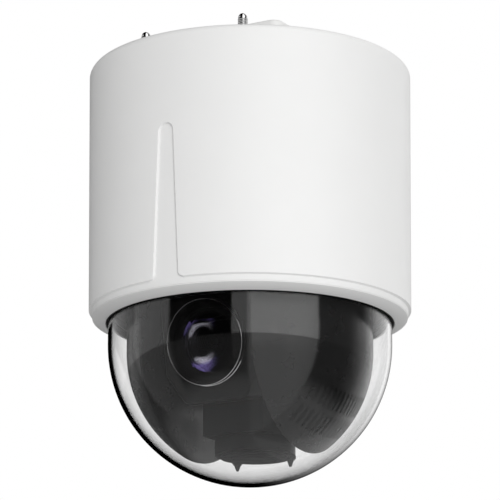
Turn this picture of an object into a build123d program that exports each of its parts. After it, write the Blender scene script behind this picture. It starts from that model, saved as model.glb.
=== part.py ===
from build123d import *

import os
from math import asin, cos, radians, sin

# A ceiling-hung dome camera that pans and tilts.
#
# Millimetres, +Z up. The origin is the centre of the cover's top face, which meets the ceiling, and
# everything but the cable box and the studs hangs below it. -Y is the front: the lens looks that way
# when the pan is at zero. +X is on the right hand of someone who looks along +Y.

# ---------------------------------------------------------------- driving dimensions

# The white cover: a slightly tapered drum with a raised wall.
cover_top_radius = 96.3
cover_low_radius = 95.0
cover_bore = 91.4
cover_roof = 3.2
cover_edge_radius = 4.5
panel_bottom = -147.3  # lower edge of the raised wall
cover_bottom = -151.1  # lower edge of the recessed band under it
recess_depth = 1.5
groove_top = -55.7
groove_top_width = 9.8
groove_low_width = 16.9
groove_corner = 3.0

# The cable box and the ceiling fixings on the top face.
box_length = 72.0
box_width = 58.4
box_height = 21.4
box_wall = 2.6
cable_hole_radius = 10.5
box_boss_inset = 6.0  # from the box's sides to the middle of each corner boss
box_screw_radius = 1.15
stud_radius = 3.0
stud_neck_radius = 2.8  # where the stud passes the roof and the plate
stud_height = 13.5
stud_spacing_x = 66.2
stud_spacing_y = 129.7
stud_nut_radius = 5.5
stud_nut_height = 3.5
cover_screw_radius = 1.95
cover_screw_circle = 80.0
opening_length = 60.0
opening_width = 40.0

# The ring that closes the cover, and the clear dome it holds.
ring_outer = 92.9
ring_lip = 84.75
ring_lip_bottom = -155.3
ring_ledge = -151.8
ring_spigot_outer = 91.2
ring_spigot_inner = 89.3
ring_spigot_top = -144.0
dome_radius = 83.5
dome_wall = 2.3
dome_centre = -167.0
dome_flange_radius = 88.6
dome_flange_low = -150.8
dome_flange_high = -148.6
clamp_high = -146.6
clamp_screw_circle = 86.6

# The fixed frame inside the cover.
top_plate_low = -5.2
top_plate_radius = 88.0
chassis_radius = 89.5
chassis_high = -96.0
chassis_low = -99.0
frame_post_circle = 72.0
ring_post_circle = 85.5
ring_post_radius = 3.0
frame_post_radius = 5.0
frame_stud_radius = 1.95  # the thinner ends of the frame posts
board_high = -24.4
board_low = -26.0
board_length = 104.0
board_width = 84.0

# The pan drive.
bearing_bore = 15.0
bearing_inner_ring = 17.5  # outer radius of the inner ring
bearing_outer_ring = 19.4  # inner radius of the outer ring
bearing_outer = 22.5
bearing_high = -88.0
bearing_low = -95.0
housing_high = -86.0
slip_ring_radius = 9.5
slip_ring_cap_radius = 27.0
ball_circle = 18.45
ball_radius = 1.45
pan_pulley_radius = 40.0
pan_pinion_radius = 6.0
pan_motor_distance = 58.0
pulley_high = -103.0
pulley_low = -112.9
hub_flange_low = -116.0
hub_flange_radius = 30.0
hub_neck_radius = 17.0
hub_bore = 10.5
platform_low = -119.0
motor_boss_radius = 11.0
motor_shaft_radius = 2.5
screw_radius = 1.5
screw_head_radius = 2.75
screw_head_height = 2.0

# The turning inner assembly: two spherical side covers with a slot between them.
shroud_centre = -171.7
shroud_radius = 72.4
shroud_wall = 1.8
slot_half = 36.0
brow_bottom = -134.0
rear_bottom = -146.0
vent_angle = 37.0
vent_pitch = 4.2
vent_row_offset = 8.0
vent_slot_length = 13.0
vent_slot_width = 2.1
cheek_edge_radius = 0.8
arm_inner = 38.5
arm_outer = 41.0
arm_half_width = 14.0

# The tilt drive and the camera head.
tilt_height = -166.4
lens_tilt = 10.0  # the lens looks this far below the horizon when the tilt is at zero
tilt_shaft_radius = 4.0
tilt_pulley_radius = 20.0
tilt_pinion_radius = 5.0
tilt_motor_height = -134.0
tilt_motor_radius = 10.0
tilt_motor_shaft_radius = 1.5
bush_radius = 6.5
head_half_width = 31.5
head_top = 28.0
head_bottom = -34.0
head_chamfer = 11.5
head_front = 47.2
head_split = -5.0
head_back = -34.0
head_wall = 1.8
lens_ring_radius = 25.25
lens_ring_front = 52.7
lens_ring_back = 44.0
glass_radius = 23.3
barrel_outer = 22.0
barrel_inner = 20.0
neck_half_width = 20.0
neck_front = -20.0
neck_back = 28.0
base_radius = 23.5
base_top = -223.0
base_bottom = -232.2
cap_radius = 20.0
cap_centre_y = 6.0
cap_spigot_radius = 16.0
rod_offset = 17.0
rod_radius = 1.0

# Clearances.
running = 0.05  # radial, a shaft in its bearing
loose = 0.25  # radial, a screw in its hole
belt_gap = 0.3

# ---------------------------------------------------------------- placing planes

upright = Plane.XY
side_on = Plane(origin=(0, 0, tilt_height), x_dir=(0, 1, 0), z_dir=(1, 0, 0))
lens_plane = Plane(
    origin=(0, 0, tilt_height),
    x_dir=(1, 0, 0),
    z_dir=(0, -cos(radians(lens_tilt)), -sin(radians(lens_tilt))),
)
lens_meridian = Plane(origin=lens_plane.origin, x_dir=lens_plane.x_dir, z_dir=-lens_plane.y_dir)
lens_axis = Axis(lens_plane.origin, lens_plane.z_dir)
vent_plane = Plane(
    origin=(0, 0, shroud_centre),
    x_dir=(0, 1, 0),
    z_dir=(cos(radians(vent_angle)), 0, -sin(radians(vent_angle))),
)

# ---------------------------------------------------------------- shared shapes


def tube(plane, outer, inner, low, high, places=((0, 0),), mode=Mode.ADD):
    """Add a tube, or a rod where inner is 0, between two heights above the plane."""
    with BuildSketch(plane.offset(low)) as profile:
        with Locations(*places):
            Circle(outer)
            if inner:
                Circle(inner, mode=Mode.SUBTRACT)
    extrude(profile.sketch, amount=high - low, mode=mode)


def block(plane, length, width, low, high, places=((0, 0),), corner=0.0, mode=Mode.ADD):
    """Add a block, with rounded upright corners if asked, between two heights above the plane."""
    with BuildSketch(plane.offset(low)) as profile:
        with Locations(*places):
            if corner:
                RectangleRounded(length, width, corner)
            else:
                Rectangle(length, width)
    extrude(profile.sketch, amount=high - low, mode=mode)


def turned(points, mode=Mode.ADD):
    """Add a solid turned about the upright axis from (radius, height) points."""
    with BuildSketch(Plane.XZ) as profile:
        with BuildLine():
            Polyline(*points, close=True)
        make_face()
    revolve(profile.sketch, axis=Axis.Z, mode=mode)


def lens_turned(points, mode=Mode.ADD):
    """Add a solid turned about the lens axis from (radius, distance forward) points."""
    with BuildSketch(lens_meridian) as profile:
        with BuildLine():
            Polyline(*points, close=True)
        make_face()
    revolve(profile.sketch, axis=lens_axis, mode=mode)


def on_circle(radius, count, first=0.0):
    """The centres of evenly spaced places on a circle."""
    angles = [radians(first + 360.0 * step / count) for step in range(count)]
    return [(radius * cos(angle), radius * sin(angle)) for angle in angles]


def belt_area(big, small, distance, gap):
    """The flat area inside a tight belt round two pulleys, the second one at (distance, 0)."""
    lean = asin((big - small) / distance)
    big, small = big + gap, small + gap
    with BuildSketch() as area:
        Circle(big)
        with Locations((distance, 0)):
            Circle(small)
        with BuildLine():
            Polyline(
                (big * sin(lean), big * cos(lean)),
                (distance + small * sin(lean), small * cos(lean)),
                (distance + small * sin(lean), -small * cos(lean)),
                (big * sin(lean), -big * cos(lean)),
                close=True,
            )
        make_face()
    return area.sketch


def toothed_wheel(plane, radius, teeth, low, high, bore):
    """Add a toothed belt wheel: a round blank with a groove for each tooth of the belt."""
    with BuildSketch(plane.offset(low)) as profile:
        Circle(radius)
        with PolarLocations(radius, teeth):
            Circle(radius / teeth, mode=Mode.SUBTRACT)
        if bore:
            Circle(bore, mode=Mode.SUBTRACT)
    extrude(profile.sketch, amount=high - low)


# ---------------------------------------------------------------- cover and ceiling fixings

cover_screw_places = on_circle(cover_screw_circle, 4, 45.0)
stud_places = [
    (x * stud_spacing_x / 2, y * stud_spacing_y / 2) for x in (-1, 1) for y in (-1, 1)
]
frame_post_places = on_circle(frame_post_circle, 4, 45.0)
box_boss_places = [
    (x * (box_length / 2 - box_boss_inset), y * (box_width / 2 - box_boss_inset))
    for x in (-1, 1)
    for y in (-1, 1)
]
screw_sink_radius = 4.15
hanging = (Align.CENTER, Align.CENTER, Align.MAX)
floor_low_radius = cover_low_radius - recess_depth
floor_top_radius = cover_top_radius - recess_depth
band_low_radius = ring_outer + 0.1

# The front and back grooves run down the raised wall into the band below it. Their floor is level
# with the band.
with BuildPart() as groove_cutter:
    with BuildSketch(Plane.XZ) as groove_outline:
        with BuildLine():
            arch_height = groove_top - groove_top_width / 2
            Polyline(
                (-groove_top_width / 2, arch_height),
                (-groove_low_width / 2, panel_bottom),
                (-groove_low_width, panel_bottom),
                (-groove_low_width, panel_bottom - 1),
                (groove_low_width, panel_bottom - 1),
                (groove_low_width, panel_bottom),
                (groove_low_width / 2, panel_bottom),
                (groove_top_width / 2, arch_height),
            )
            ThreePointArc(
                (groove_top_width / 2, arch_height),
                (0, groove_top),
                (-groove_top_width / 2, arch_height),
            )
        make_face()
        mouth = groove_outline.vertices().filter_by_position(
            Axis.X, -groove_low_width / 2 - 0.1, groove_low_width / 2 + 0.1
        )
        fillet(mouth.sort_by(Axis.Z)[:2], groove_corner)
    extrude(amount=cover_top_radius + 5, both=True)
    turned(
        (
            (0, 5),
            (floor_top_radius, 5),
            (floor_top_radius, 0),
            (floor_low_radius, panel_bottom),
            (floor_low_radius, panel_bottom - 5),
            (0, panel_bottom - 5),
        ),
        mode=Mode.SUBTRACT,
    )

with BuildPart() as outer_cover:
    turned(
        (
            (0, 0),
            (cover_top_radius, 0),
            (cover_low_radius, panel_bottom),
            (floor_low_radius, panel_bottom),
            (band_low_radius, cover_bottom),
            (cover_bore, cover_bottom),
            (cover_bore, -cover_roof),
            (0, -cover_roof),
        )
    )
    fillet(outer_cover.edges().filter_by(GeomType.CIRCLE).sort_by(SortBy.RADIUS)[-1], cover_edge_radius)
    add(groove_cutter.part, mode=Mode.SUBTRACT)
    block(upright, opening_length, opening_width, -cover_roof, 0, corner=5, mode=Mode.SUBTRACT)
    tube(upright, stud_neck_radius + loose, 0, -cover_roof, 0, stud_places, Mode.SUBTRACT)
    tube(upright, box_screw_radius + loose, 0, -cover_roof, 0, box_boss_places, Mode.SUBTRACT)
    with Locations(*cover_screw_places):
        CounterSinkHole(
            radius=cover_screw_radius + loose,
            counter_sink_radius=screw_sink_radius + loose,
            depth=cover_roof,
        )

cross_length = 4.4
cross_width = 0.9
cross_depth = 1.2
with BuildPart() as cover_screws:
    with Locations(*cover_screw_places):
        Cone(cover_screw_radius, screw_sink_radius, 2.4, align=hanging)
        Cylinder(cover_screw_radius, 9, align=hanging)
        Box(cross_length, cross_width, cross_depth, align=hanging, mode=Mode.SUBTRACT)
        Box(cross_width, cross_length, cross_depth, align=hanging, mode=Mode.SUBTRACT)

with BuildPart() as cable_box:
    block(upright, box_length, box_width, 0, box_height, corner=6)
    fillet(cable_box.faces().sort_by(Axis.Z)[-1].edges(), 1.5)
    inner_length = box_length - 2 * box_wall
    inner_width = box_width - 2 * box_wall
    block(upright, inner_length, inner_width, 0, box_height - box_wall, corner=4, mode=Mode.SUBTRACT)
    tube(upright, 4, 0, 0, box_height - box_wall, box_boss_places)
    tube(upright, box_screw_radius + running, 0, 0, 8, box_boss_places, Mode.SUBTRACT)
    tube(upright, cable_hole_radius, 0, 0, box_height, mode=Mode.SUBTRACT)

with BuildPart() as box_screws:
    tube(upright, box_screw_radius, 0, -cover_roof, 7.5, box_boss_places)
    tube(upright, 2 * box_screw_radius, 0, -cover_roof - 1.7, -cover_roof, box_boss_places)

with BuildPart() as top_plate:
    tube(upright, top_plate_radius, 0, top_plate_low, -cover_roof)
    block(upright, opening_length, opening_width, top_plate_low, 0, corner=5, mode=Mode.SUBTRACT)
    for hole_radius, places in (
        (stud_neck_radius + running, stud_places),
        (cover_screw_radius + running, cover_screw_places),
        (frame_stud_radius + running, frame_post_places),
        (2 * box_screw_radius + 0.9, box_boss_places),
    ):
        tube(upright, hole_radius, 0, top_plate_low, 0, places, Mode.SUBTRACT)

with BuildPart() as ceiling_studs:
    tube(upright, stud_radius, 0, 0, stud_height, stud_places)
    fillet(ceiling_studs.faces().group_by(Axis.Z)[-1].edges(), 0.8 * stud_radius)
    tube(upright, stud_neck_radius, 0, top_plate_low, 0, stud_places)
    with BuildSketch(upright.offset(top_plate_low - stud_nut_height)):
        with Locations(*stud_places):
            RegularPolygon(stud_nut_radius, 6)
    extrude(amount=stud_nut_height)

# ---------------------------------------------------------------- fixed frame and electronics

ring_post_places = on_circle(ring_post_circle, 3, 60.0)
board_spacer_places = [
    (x * (board_length / 2 - 5), y * (board_width / 2 - 5)) for x in (-1, 1) for y in (-1, 1)
]

with BuildPart() as frame_posts:
    with BuildSketch(upright.offset(chassis_high)):
        with Locations(*frame_post_places):
            RegularPolygon(frame_post_radius, 6)
    extrude(amount=top_plate_low - chassis_high)
    tube(upright, frame_stud_radius, 0, top_plate_low, top_plate_low + 1.9, frame_post_places)
    tube(upright, frame_stud_radius, 0, chassis_low, chassis_high, frame_post_places)

with BuildPart() as main_board:
    block(upright, board_length, board_width, board_low, board_high, corner=3)
    tube(upright, 1.6, 0, board_low, board_high, board_spacer_places, Mode.SUBTRACT)

with BuildPart() as board_spacers:
    tube(upright, 3, 0, board_high, top_plate_low, board_spacer_places)
    tube(upright, 1.5, 0, board_low, board_high, board_spacer_places)
    tube(upright, 2.8, 0, board_low - 2, board_low, board_spacer_places)

socket_length = 21.0
socket_height = 13.5
mouth_depth = 14.5
with BuildPart() as network_socket:
    socket_place = (((board_length - socket_length) / 2, 0),)
    block(upright, socket_length, 16, board_high, board_high + socket_height, socket_place)
    mouth_place = (((board_length - mouth_depth) / 2, 0),)
    block(upright, mouth_depth, 11.8, board_high + 3, board_high + 11, mouth_place, mode=Mode.SUBTRACT)

terminal_length = 11.0
terminal_y = 22.0
terminal_top = board_high + 11.0
with BuildPart() as power_terminal:
    terminal_x = (board_length - terminal_length) / 2
    block(upright, terminal_length, 13, board_high, terminal_top, ((terminal_x, terminal_y),))
    wire_face = Plane(
        origin=(board_length / 2, terminal_y, board_high + 4), x_dir=(0, 1, 0), z_dir=(1, 0, 0)
    )
    tube(wire_face, 1.8, 0, -8, 0, ((-3, 0), (3, 0)), Mode.SUBTRACT)
    wire_screws = [(terminal_x, terminal_y + side * 3) for side in (-1, 1)]
    tube(upright, 1.7, 0, terminal_top - 3, terminal_top, wire_screws, Mode.SUBTRACT)

processor_x = -18.0
processor_low = board_low - 1.5
with BuildPart() as board_components:
    block(upright, 27, 27, processor_low, board_low, ((processor_x, 0),))
    block(upright, 14, 14, board_low - 1.6, board_low, ((18, 24), (18, 4)))
    block(upright, 18, 12, board_low - 7, board_low, ((20, -22),))
    tube(upright, 4, 0, board_low - 9, board_low, ((38, -20), (38, -8), (38, 8), (38, 20)))

sink_size = 30.0
sink_foot_low = processor_low - 3.0
fin_count = 7
fin_thickness = 1.5
fin_pitch = (sink_size - fin_thickness) / (fin_count - 1)
with BuildPart() as heat_sink:
    block(upright, sink_size, sink_size, sink_foot_low, processor_low, ((processor_x, 0),))
    first_fin = processor_x - (sink_size - fin_thickness) / 2
    fins = [(first_fin + fin_pitch * step, 0) for step in range(fin_count)]
    block(upright, fin_thickness, sink_size, sink_foot_low - 9, sink_foot_low, fins)

motor_place = ((0, pan_motor_distance),)
chassis_bore = 20.2
with BuildPart() as chassis_plate:
    tube(upright, chassis_radius, chassis_bore, chassis_low, chassis_high)
    for hole_radius, places in (
        (frame_stud_radius + running, frame_post_places),
        (motor_boss_radius + loose, motor_place),
        (9.0, on_circle(62, 3, 210)),
    ):
        tube(upright, hole_radius, 0, chassis_low, chassis_high, places, Mode.SUBTRACT)

with BuildPart() as bearing_housing:
    tube(upright, 36, bearing_outer, chassis_high, chassis_high + 3)
    tube(upright, 27, bearing_outer, chassis_high, housing_high)
    tube(upright, bearing_outer + 0.5, chassis_bore + 0.3, chassis_high, bearing_low)

bearing_middle = (bearing_low + bearing_high) / 2
with BuildPart() as pan_bearing_outer:
    tube(upright, bearing_outer, bearing_outer_ring, bearing_low, bearing_high)
    with Locations((0, 0, bearing_middle)):
        Torus(ball_circle, ball_radius + running, mode=Mode.SUBTRACT)

with BuildPart() as pan_bearing_inner:
    tube(upright, bearing_inner_ring, bearing_bore, bearing_low, bearing_high)
    with Locations((0, 0, bearing_middle)):
        Torus(ball_circle, ball_radius + running, mode=Mode.SUBTRACT)

with BuildPart() as bearing_balls:
    with Locations((0, 0, bearing_middle)):
        with PolarLocations(ball_circle, 16):
            Sphere(ball_radius)

slip_ring_low = -112.0
with BuildPart() as slip_ring_body:
    tube(upright, slip_ring_cap_radius, 0, housing_high, housing_high + 2.5)
    tube(upright, 12, 0, housing_high + 2.5, housing_high + 8)
    tube(upright, slip_ring_radius, 0, slip_ring_low, housing_high)

# ---------------------------------------------------------------- pan drive

pan_tooth_count = 64
tilt_tooth_count = 32
motor_size = 35.0
motor_top = chassis_high + 26.0

with BuildPart() as pan_motor:
    block(upright, motor_size, motor_size, chassis_high, motor_top, motor_place, corner=4)
    tube(upright, motor_boss_radius, 0, chassis_high - 2, chassis_high, motor_place)
    shaft_hole = motor_shaft_radius + running
    tube(upright, shaft_hole, 0, chassis_high - 2, chassis_high + 14, motor_place, Mode.SUBTRACT)
    shell_lines = [(x * motor_size / 2, pan_motor_distance) for x in (-1, 1)]
    block(upright, 1, 20, chassis_high + 8, chassis_high + 20, shell_lines, mode=Mode.SUBTRACT)

with BuildPart() as pan_pinion:
    motor_axis = Plane(origin=(0, pan_motor_distance, 0))
    toothed_wheel(motor_axis, pan_pinion_radius, 10, pulley_low, pulley_high, 0)
    tube(upright, motor_shaft_radius, 0, pulley_high, chassis_high + 13.5, motor_place)

with BuildPart() as pan_belt:
    belt_plane = Plane(origin=(0, 0, pulley_low + 1), x_dir=(0, 1, 0), z_dir=(0, 0, 1))
    with BuildSketch(belt_plane):
        add(belt_area(pan_pulley_radius, pan_pinion_radius, pan_motor_distance, belt_gap + 1.4))
        add(
            belt_area(pan_pulley_radius, pan_pinion_radius, pan_motor_distance, belt_gap),
            mode=Mode.SUBTRACT,
        )
    extrude(amount=pulley_high - pulley_low - 2)

hub_screw_places = on_circle(24, 4, 45)
arm_screw_places = [(x * 49.0, y * 7.0) for x in (-1, 1) for y in (-1, 1)]
arm_foot_low = platform_low - 2.5

with BuildPart() as pan_hub:
    tube(upright, hub_flange_radius, hub_bore, hub_flange_low, pulley_low)
    tube(upright, hub_neck_radius, hub_bore, hub_flange_low, bearing_low)
    tube(upright, bearing_bore, hub_bore, bearing_low, bearing_high + 0.8)
    tube(upright, screw_radius + loose, 0, hub_flange_low, pulley_low, hub_screw_places, Mode.SUBTRACT)

with BuildPart() as pan_pulley:
    toothed_wheel(
        upright, pan_pulley_radius, pan_tooth_count, pulley_low, pulley_high, hub_neck_radius
    )
    tube(upright, screw_radius, 0, pulley_low, pulley_low + 6, hub_screw_places, Mode.SUBTRACT)

with BuildPart() as pan_platform:
    tube(upright, shroud_radius, 8, platform_low, hub_flange_low)
    for hole_radius, places in (
        (screw_radius + loose, hub_screw_places),
        (screw_radius, arm_screw_places),
    ):
        tube(upright, hole_radius, 0, platform_low, hub_flange_low, places, Mode.SUBTRACT)

with BuildPart() as platform_screws:
    for head_high, screw_top, places in (
        (platform_low, pulley_low + 5, hub_screw_places),
        (arm_foot_low, hub_flange_low, arm_screw_places),
    ):
        tube(upright, screw_radius, 0, head_high, screw_top, places)
        tube(upright, screw_head_radius, 0, head_high - screw_head_height, head_high, places)

with BuildPart() as slip_ring_rotor:
    tube(upright, 6, 3, platform_low, slip_ring_low - 0.4)
    tube(upright, 11, 3, platform_low - 2, platform_low)

# ---------------------------------------------------------------- turning shroud


def shroud_volume(skin, top):
    """Fill the shroud's outline, a drum with a spherical bottom, at a distance inside its surface."""
    radius = shroud_radius - skin
    with BuildSketch(Plane.XZ) as profile:
        with BuildLine():
            Line((0, top), (radius, top))
            Line((radius, top), (radius, shroud_centre))
            RadiusArc((radius, shroud_centre), (0, shroud_centre - radius), radius)
            Line((0, shroud_centre - radius), (0, top))
        make_face()
    revolve(profile.sketch, axis=Axis.Z)


def side_shroud(side):
    """One side cover: a spherical cap closed by a flat cheek with a hole for the tilt shaft."""
    with BuildPart() as hollow:
        shroud_volume(shroud_wall, platform_low)
        split(bisect_by=Plane.YZ.offset(slot_half + shroud_wall))
    with BuildPart() as shroud:
        shroud_volume(0, platform_low)
        split(bisect_by=Plane.YZ.offset(slot_half))
        add(hollow.part, mode=Mode.SUBTRACT)
        tube(side_on, 8.5, 0, slot_half - 1, slot_half + 3, mode=Mode.SUBTRACT)
        if side > 0:
            vent_slots()
        cheek_rim = shroud.faces().filter_by(Axis.X).sort_by(Axis.X)[0].outer_wire().edges()
        fillet(cheek_rim.filter_by(GeomType.CIRCLE), cheek_edge_radius)
    if side < 0:
        shroud.part = mirror(shroud.part, about=Plane.YZ)
    return shroud


def vent_slots():
    """Cut two rows of slots where the fan blows out of the right side cover."""
    slot_places = [
        (step * vent_pitch, row * vent_row_offset) for row in (-1, 1) for step in range(-7, 8)
    ]
    with BuildSketch(vent_plane.offset(shroud_radius / 2)) as slots:
        with Locations(*slot_places):
            SlotOverall(vent_slot_length, vent_slot_width, rotation=90)
    extrude(slots.sketch, amount=shroud_radius, mode=Mode.SUBTRACT)


side_shroud_left = side_shroud(-1)
side_shroud_right = side_shroud(1)


def shroud_wall_piece(low, front):
    """A curved wall that closes the slot above the head, at the front or at the back."""
    with BuildPart() as wall_piece:
        tube(upright, shroud_radius, shroud_radius - shroud_wall, low, platform_low)
        half_slot = slot_half - 0.2
        split(bisect_by=Plane.YZ.offset(half_slot), keep=Keep.BOTTOM)
        split(bisect_by=Plane.YZ.offset(-half_slot))
        split(bisect_by=Plane.XZ, keep=Keep.TOP if front else Keep.BOTTOM)
    return wall_piece


front_brow = shroud_wall_piece(brow_bottom, True)
rear_shroud = shroud_wall_piece(rear_bottom, False)


driver_board_x = 50.0
driver_board_centre = -146.0


def yoke_arm(side):
    """A bent sheet arm: a foot under the platform and a leg with the tilt bearing's hole."""
    with BuildPart() as arm:
        foot_length = 17.0
        foot_centre = ((side * (arm_inner + foot_length / 2), 0),)
        block(upright, foot_length, 24, arm_foot_low, platform_low, foot_centre)
        low, high = sorted((side * arm_inner, side * arm_outer))
        leg_height = arm_foot_low + 1 - tilt_height
        block(side_on, 2 * arm_half_width, leg_height, low, high, ((0, leg_height / 2),))
        tube(side_on, arm_half_width, 0, low, high)
        tube(side_on, bush_radius, 0, low, high, mode=Mode.SUBTRACT)
        screw_hole = screw_radius + loose
        tube(upright, screw_hole, 0, arm_foot_low, platform_low, arm_screw_places, Mode.SUBTRACT)
        if side > 0:
            rise = driver_board_centre - tilt_height
            standoffs = [(y, rise + up) for y in (-10, 10) for up in (-8, 14)]
            tube(side_on, 2.2, 0, arm_outer, driver_board_x, standoffs)
    return arm


yoke_arm_left = yoke_arm(-1)
yoke_arm_right = yoke_arm(1)

with BuildPart() as tilt_bushes:
    for side in (-1, 1):
        low, high = sorted((side * arm_inner, side * (arm_outer + 1)))
        tube(side_on, bush_radius, tilt_shaft_radius + running, low, high)
        low, high = sorted((side * arm_outer, side * (arm_outer + 1)))
        tube(side_on, 8, 6, low, high)

driver_board_face = driver_board_x + 1.6
with BuildPart() as driver_board:
    rise = driver_board_centre - tilt_height
    block(side_on, 38, 36, driver_board_x, driver_board_face, ((0, rise),))
    chip_places = [(-9, rise + 10), (8, rise - 2)]
    block(side_on, 9, 9, driver_board_face, driver_board_face + 1.4, chip_places)

# ---------------------------------------------------------------- fan behind the vent

fan_low = 60.0
fan_high = 66.0
fan_size = 22.0
fan_hole_radius = 10.2
fan_spider = 0.9  # thickness of the cross that carries the motor
fan_hub_radius = 4.2
fan_pin_radius = 1.0
fan_blade_count = 7
fan_blade_length = 6.0
fan_blade_tilt = 38.0

with BuildPart() as fan_frame:
    block(vent_plane, fan_size, fan_size, fan_low, fan_high, corner=2)
    tube(vent_plane, fan_hole_radius, 0, fan_low, fan_high, mode=Mode.SUBTRACT)
    block(vent_plane, 2 * fan_hole_radius + 1, 1.6, fan_low, fan_low + fan_spider)
    block(vent_plane, 1.6, 2 * fan_hole_radius + 1, fan_low, fan_low + fan_spider)
    tube(vent_plane, fan_hub_radius, 0, fan_low, fan_low + fan_spider)
    tube(vent_plane, fan_pin_radius, 0, fan_low, fan_high - 1.2)

with BuildPart() as fan_rotor:
    tube(vent_plane, fan_hub_radius, fan_pin_radius + running, fan_low + 1.2, fan_high - 0.6)
    blade_centre = (fan_low + fan_high) / 2 + 0.3
    for step in range(fan_blade_count):
        turn = Location((0, 0, blade_centre), (0, 0, 360.0 * step / fan_blade_count))
        twist = Location((fan_hub_radius + 2.5, 0, 0), (fan_blade_tilt, 0, 0))
        with Locations(vent_plane.location * turn * twist):
            Box(fan_blade_length, 4.0, 0.6)

# ---------------------------------------------------------------- tilt drive

motor_rise = tilt_motor_height - tilt_height
pulley_inner = 42.3
pulley_outer = 46.0
tilt_axis_up = Plane(origin=(0, 0, tilt_height), x_dir=(0, 0, 1), z_dir=(-1, 0, 0))
tilt_motor_axis = Plane(origin=(0, 0, tilt_motor_height), x_dir=(0, 1, 0), z_dir=(-1, 0, 0))

motor_plate_low = 46.5
motor_plate_high = 47.5

with BuildPart() as tilt_motor:
    tube(tilt_motor_axis, tilt_motor_radius, 0, motor_plate_high, 62)
    block(tilt_motor_axis, 28, 14, motor_plate_low, motor_plate_high, corner=3)
    tube(tilt_motor_axis, 2, 0, arm_outer, motor_plate_low, ((-11.5, 0), (11.5, 0)))
    shaft_hole = tilt_motor_shaft_radius + running
    tube(tilt_motor_axis, shaft_hole, 0, motor_plate_low, 54, mode=Mode.SUBTRACT)

with BuildPart() as tilt_pinion:
    toothed_wheel(tilt_motor_axis, tilt_pinion_radius, 8, pulley_inner, pulley_outer, 0)
    tube(tilt_motor_axis, tilt_motor_shaft_radius, 0, pulley_outer, 53.5)

with BuildPart() as tilt_belt:
    with BuildSketch(tilt_axis_up.offset(pulley_inner + 0.5)):
        add(belt_area(tilt_pulley_radius, tilt_pinion_radius, motor_rise, belt_gap + 1.2))
        add(
            belt_area(tilt_pulley_radius, tilt_pinion_radius, motor_rise, belt_gap),
            mode=Mode.SUBTRACT,
        )
    extrude(amount=pulley_outer - pulley_inner - 1)

with BuildPart() as tilt_pulley:
    toothed_wheel(
        tilt_axis_up,
        tilt_pulley_radius,
        tilt_tooth_count,
        pulley_inner,
        pulley_outer,
        tilt_shaft_radius,
    )

shaft_root = 27.0  # the inner faces of the bracket's sides
shaft_collar = 1.5
with BuildPart() as trunnion_shafts:
    tube(side_on, tilt_shaft_radius, 0, -47, -shaft_root)
    tube(side_on, tilt_shaft_radius, 0, shaft_root, 43.5)
    tube(side_on, 6, 0, -shaft_root, -shaft_root + shaft_collar)
    tube(side_on, 6, 0, shaft_root - shaft_collar, shaft_root)

# ---------------------------------------------------------------- camera head

neck_step = 9.5  # where the neck's top steps down, clear of the rear cover
neck_top = tilt_height - 31.6
neck_back_top = neck_top - 4.0
neck_floor = base_top + head_wall
cap_place = ((0, cap_centre_y),)


def head_outline(inset):
    """The head's outline seen along the lens axis, with the two lower corners cut away."""
    half = head_half_width - inset
    low_half = head_half_width - head_chamfer - inset * 0.5
    cut_height = head_bottom + 18.0 + inset * 0.5
    with BuildSketch() as outline:
        with BuildLine():
            Polyline(
                (-half, head_top - inset),
                (half, head_top - inset),
                (half, cut_height),
                (low_half, head_bottom + inset),
                (-low_half, head_bottom + inset),
                (-half, cut_height),
                close=True,
            )
        make_face()
        fillet(outline.vertices(), 5 - inset)
    return outline.sketch


def head_prism(inset, back, front, mode=Mode.ADD):
    """Run the head's outline along the lens axis."""
    with BuildSketch(lens_plane.offset(back)) as profile:
        add(head_outline(inset))
    extrude(profile.sketch, amount=front - back, mode=mode)


def head_neck(inset, top_front, top_back, low, mode=Mode.ADD):
    """The neck under the head, with its top stepped down at the back."""
    width = 2 * (neck_half_width - inset)
    front = neck_front + inset
    for back, top in ((neck_step - inset, top_front), (neck_back - inset, top_back)):
        place = ((0, (front + back) / 2),)
        block(upright, width, back - front, low, top, place, mode=mode)


with BuildPart() as front_cover:
    head_prism(0, head_split, head_front)
    fillet(front_cover.faces().sort_by(Axis.Y)[0].edges(), 3)
    head_neck(0, neck_top, neck_back_top, base_top)
    tube(upright, base_radius, 0, base_bottom, base_top, cap_place)
    head_prism(head_wall, head_split, head_front - head_wall, Mode.SUBTRACT)
    head_neck(head_wall, neck_top + 4, neck_back_top - head_wall, neck_floor, Mode.SUBTRACT)
    tube(upright, cap_spigot_radius, 0, base_bottom, neck_floor, cap_place, Mode.SUBTRACT)
    tube(lens_plane, lens_ring_radius + 0.15, 0, head_front - 3, head_front, mode=Mode.SUBTRACT)
    tube(side_on, tilt_shaft_radius + 0.6, 0, -head_half_width, head_half_width, mode=Mode.SUBTRACT)

with BuildPart() as rear_cover:
    head_prism(0, head_back, head_split - 0.1)
    fillet(rear_cover.faces().sort_by(Axis.Y)[-1].edges(), 4)
    head_prism(head_wall, head_back + head_wall, head_split - 0.1, Mode.SUBTRACT)

pin_x = 17.9
pin_places = ((-pin_x, cap_centre_y + 10), (pin_x, cap_centre_y + 10))
pin_foot_height = 0.8
pin_length = 3.8
cap_low = base_bottom - 1.6

with BuildPart() as bottom_cap:
    tube(upright, cap_radius, 0, cap_low, base_bottom, cap_place)
    tube(upright, 14.7, 13.7, cap_low, cap_low + 0.6, cap_place, Mode.SUBTRACT)
    tube(upright, cap_spigot_radius - 0.1, 0, base_bottom, base_bottom + 3, cap_place)
    tube(upright, 3.2, 0, cap_low, base_bottom, pin_places)
    with Locations(*[(x, y, cap_low) for x, y in pin_places]):
        Cylinder(2.6, pin_foot_height, align=hanging)
    with Locations(*[(x, y, cap_low - pin_foot_height) for x, y in pin_places]):
        Cone(0.7, 2.1, pin_length, align=hanging)


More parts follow.
